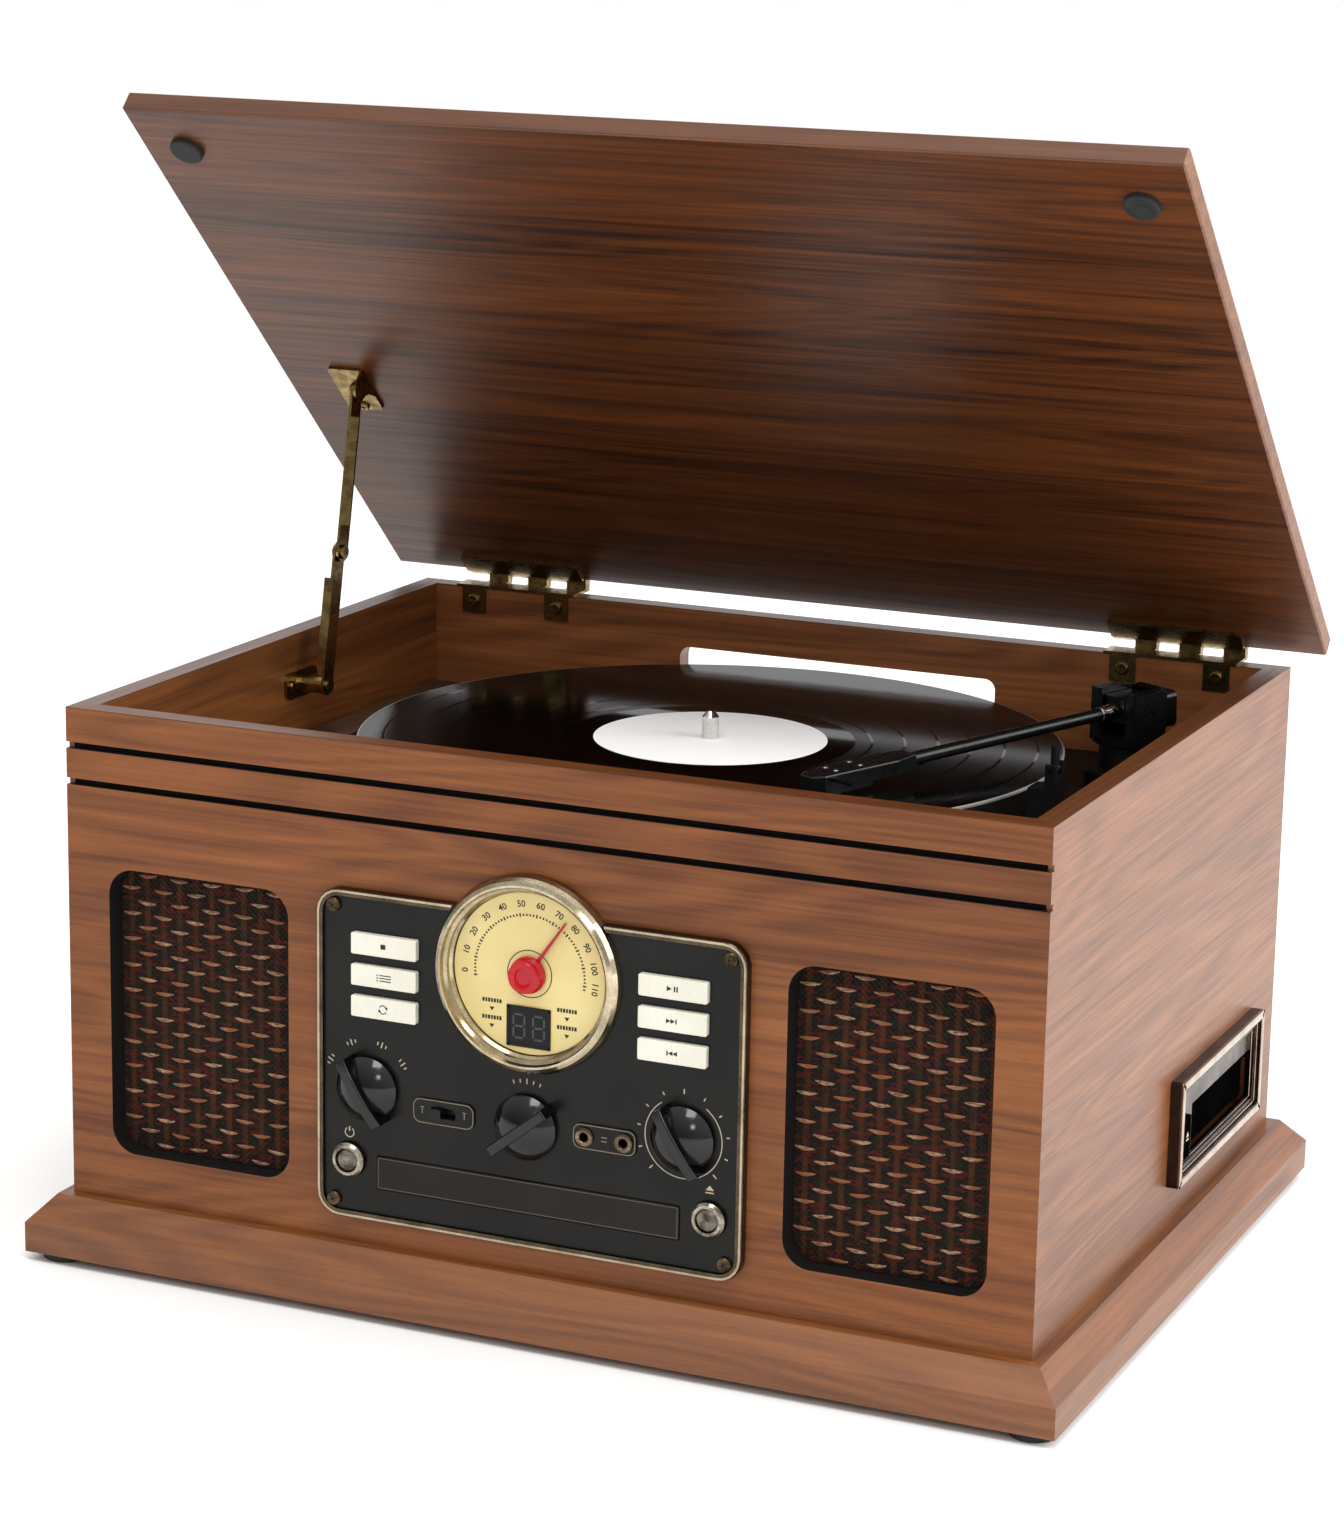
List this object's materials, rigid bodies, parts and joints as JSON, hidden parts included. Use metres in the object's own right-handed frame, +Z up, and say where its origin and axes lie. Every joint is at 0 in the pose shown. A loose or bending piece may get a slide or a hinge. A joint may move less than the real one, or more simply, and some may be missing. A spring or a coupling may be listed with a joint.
{
  "type": "turntable",
  "caption": "Wooden turntable music centre with hinged lid on a folding stay, record deck with tonearm, front radio and disc panel between cloth speakers, and a side tape slot.",
  "frame": {"origin": "on the ground under the middle of the base, midway between the feet", "axes": "+X to the right seen from the front, -Y out of the front panel, +Z up"},
  "size_m": [0.456, 0.351, 0.4797],
  "materials": {
    "walnut": "satin veneer",
    "board": "painted dark brown",
    "cloth": "basket weave cloth",
    "panel_black": "near black, fine sheen",
    "deck_black": "black, fine grain",
    "champagne": "polished champagne plating",
    "dial_cream": "cream yellow",
    "red": "glossy red",
    "ivory": "ivory",
    "chrome": "polished",
    "gloss_black": "piano black",
    "vinyl": "grooved black vinyl",
    "rubber": "black rubber",
    "brass": "antique brass",
    "aluminium": "turned",
    "circuit": "green board",
    "steel": "plated steel"
  },
  "bodies": {
    "cabinet": {"front_panel": "walnut", "right_panel": "walnut", "left_panel": "walnut", "rear_panel": "walnut", "base_mouldings": "walnut", "cabinet_boards": "board", "feet": "rubber", "chassis_plate": "deck_black", "spindle": "chrome", "motor": "steel", "drive_belt": "rubber", "hinge_cabinet_leaves": "brass", "stay_wall_bracket": "brass", "tonearm_base": "deck_black", "control_panel": "panel_black", "panel_trim": "champagne", "dial_bezel": "champagne", "dial_face": "dial_cream", "panel_plates": "panel_black", "circuit_boards": "circuit", "cd_drive": "steel", "speaker_grilles": "cloth", "speaker_drivers": "steel", "tape_bezel": "champagne", "tape_drive": "deck_black", "rear_sockets": "panel_black", "cabinet_screws": "brass"},
    "lid": {"lid": "walnut", "lid_bumpers": "rubber", "hinge_lid_leaves": "brass", "stay_lid_bracket": "brass"},
    "stay_lower": {"stay_lower_arm": "brass"},
    "stay_upper": {"stay_upper_arm": "brass"},
    "platter": {"platter": "aluminium", "mat": "rubber", "record": "vinyl"},
    "motor_pulley": {"motor_pulley": "brass"},
    "tonearm_turret": {"tonearm_turret": "deck_black"},
    "tonearm": {"tonearm": "gloss_black", "headshell": "gloss_black"},
    "cue_lever": {"cue_lever": "gloss_black"},
    "rest_clip": {"rest_clip": "deck_black"},
    "speed_switch": {"speed_switch": "gloss_black"},
    "dial_pointer": {"dial_pointer": "red"},
    "function_knob": {"function_knob": "gloss_black"},
    "tuning_knob": {"tuning_knob": "gloss_black"},
    "volume_knob": {"volume_knob": "gloss_black"},
    "stop_button": {"stop_button": "ivory"},
    "program_button": {"program_button": "ivory"},
    "repeat_button": {"repeat_button": "ivory"},
    "play_button": {"play_button": "ivory"},
    "next_button": {"next_button": "ivory"},
    "previous_button": {"previous_button": "ivory"},
    "power_button": {"power_button": "chrome"},
    "open_button": {"open_button": "chrome"},
    "band_switch": {"band_switch": "gloss_black"},
    "cd_tray": {"cd_tray": "panel_black"},
    "tape_flap": {"tape_flap": "panel_black"},
    "tape_button": {"tape_button": "gloss_black"}
  },
  "joints": [
    {"name": "lid_hinge", "type": "hinge", "parent": "cabinet", "child": "lid", "pos_m": [0, 0.16595, 0.2431], "axis": [1, 0, 0], "range_deg": [0, 43]},
    {"name": "stay_lower_pivot", "type": "hinge", "parent": "cabinet", "child": "stay_lower", "pos_m": [-0.188, 0.0167, 0.2142], "axis": [1, 0, 0], "range_deg": [-78.4, 0]},
    {"name": "stay_upper_pivot", "type": "hinge", "parent": "lid", "child": "stay_upper", "pos_m": [-0.186, 0.04219, 0.34388], "axis": [1, 0, 0], "range_deg": [0, 44.2]},
    {"name": "platter_spin", "type": "hinge", "parent": "cabinet", "child": "platter", "pos_m": [0.001, 0.0105, 0.2], "axis": [0, 0, 1], "continuous": true},
    {"name": "motor_spin", "type": "hinge", "parent": "cabinet", "child": "motor_pulley", "pos_m": [-0.05628, -0.04678, 0.2], "axis": [0, 0, 1], "continuous": true},
    {"name": "tonearm_swing", "type": "hinge", "parent": "cabinet", "child": "tonearm_turret", "pos_m": [0.1606, 0.0925, 0.22], "axis": [0, 0, -1], "range_deg": [-27.5, 19]},
    {"name": "cue_lever_turn", "type": "hinge", "parent": "cabinet", "child": "cue_lever", "pos_m": [0.184, 0.026, 0.199], "axis": [-1, 0, 0], "range_deg": [0, 45]},
    {"name": "tonearm_lift", "type": "hinge", "parent": "tonearm_turret", "child": "tonearm", "pos_m": [0.1606, 0.0925, 0.2265], "axis": [-0.8926, 0.4509, 0], "range_deg": [0, 4.01]},
    {"name": "rest_clip_turn", "type": "hinge", "parent": "cabinet", "child": "rest_clip", "pos_m": [0.16775, -0.02649, 0.22572], "axis": [0, -1, 0], "range_deg": [0, 95]},
    {"name": "speed_switch_slide", "type": "slide", "parent": "cabinet", "child": "speed_switch", "axis": [0, 1, 0], "range_m": [0, 0.013]},
    {"name": "function_turn", "type": "hinge", "parent": "cabinet", "child": "function_knob", "pos_m": [-0.0708, -0.1638, 0.0955], "axis": [0, -1, 0], "range_deg": [-150, 0]},
    {"name": "volume_turn", "type": "hinge", "parent": "cabinet", "child": "volume_knob", "pos_m": [0.0678, -0.1638, 0.0955], "axis": [0, -1, 0], "range_deg": [-270, 20]},
    {"name": "tuning_turn", "type": "hinge", "parent": "cabinet", "child": "tuning_knob", "pos_m": [0, -0.1638, 0.09], "axis": [0, -1, 0], "range_deg": [-255, 465]},
    {"name": "dial_pointer_turn", "type": "hinge", "parent": "cabinet", "child": "dial_pointer", "pos_m": [0, -0.1625, 0.1525], "axis": [0, -1, 0], "range_deg": [-85.1, 155.1]},
    {"name": "stop_press", "type": "slide", "parent": "cabinet", "child": "stop_button", "axis": [0, 1, 0], "range_m": [0, 0.0015], "stiffness_N_per_m": 200, "springref_m": -0.001},
    {"name": "program_press", "type": "slide", "parent": "cabinet", "child": "program_button", "axis": [0, 1, 0], "range_m": [0, 0.0015], "stiffness_N_per_m": 200, "springref_m": -0.001},
    {"name": "repeat_press", "type": "slide", "parent": "cabinet", "child": "repeat_button", "axis": [0, 1, 0], "range_m": [0, 0.0015], "stiffness_N_per_m": 200, "springref_m": -0.001},
    {"name": "play_press", "type": "slide", "parent": "cabinet", "child": "play_button", "axis": [0, 1, 0], "range_m": [0, 0.0015], "stiffness_N_per_m": 200, "springref_m": -0.001},
    {"name": "next_press", "type": "slide", "parent": "cabinet", "child": "next_button", "axis": [0, 1, 0], "range_m": [0, 0.0015], "stiffness_N_per_m": 200, "springref_m": -0.001},
    {"name": "previous_press", "type": "slide", "parent": "cabinet", "child": "previous_button", "axis": [0, 1, 0], "range_m": [0, 0.0015], "stiffness_N_per_m": 200, "springref_m": -0.001},
    {"name": "power_press", "type": "slide", "parent": "cabinet", "child": "power_button", "axis": [0, 1, 0], "range_m": [0, 0.0015], "stiffness_N_per_m": 200, "springref_m": -0.001},
    {"name": "open_press", "type": "slide", "parent": "cabinet", "child": "open_button", "axis": [0, 1, 0], "range_m": [0, 0.0015], "stiffness_N_per_m": 200, "springref_m": -0.001},
    {"name": "band_switch_slide", "type": "slide", "parent": "cabinet", "child": "band_switch", "axis": [1, 0, 0], "range_m": [0, 0.005]},
    {"name": "cd_tray_slide", "type": "slide", "parent": "cabinet", "child": "cd_tray", "axis": [0, -1, 0], "range_m": [0, 0.13]},
    {"name": "tape_flap_turn", "type": "hinge", "parent": "cabinet", "child": "tape_flap", "pos_m": [0.2099, 0.0765, 0.07225], "axis": [0, 1, 0], "range_deg": [0, 75], "stiffness_Nm_per_rad": 0.002, "springref_deg": -11.46},
    {"name": "tape_button_press", "type": "slide", "parent": "cabinet", "child": "tape_button", "axis": [-1, 0, 0], "range_m": [0, 0.0025], "stiffness_N_per_m": 200, "springref_m": -0.001}
  ],
  "couplings": [
    {"joint": "stay_lower_pivot", "follows": "lid_hinge", "ratio": -1.82},
    {"joint": "stay_upper_pivot", "follows": "lid_hinge", "ratio": 1.0242},
    {"joint": "motor_spin", "follows": "platter_spin", "ratio": 9.9552},
    {"joint": "tonearm_lift", "follows": "cue_lever_turn", "ratio": 0.08889},
    {"joint": "dial_pointer_turn", "follows": "tuning_turn", "ratio": 0.33333}
  ]
}
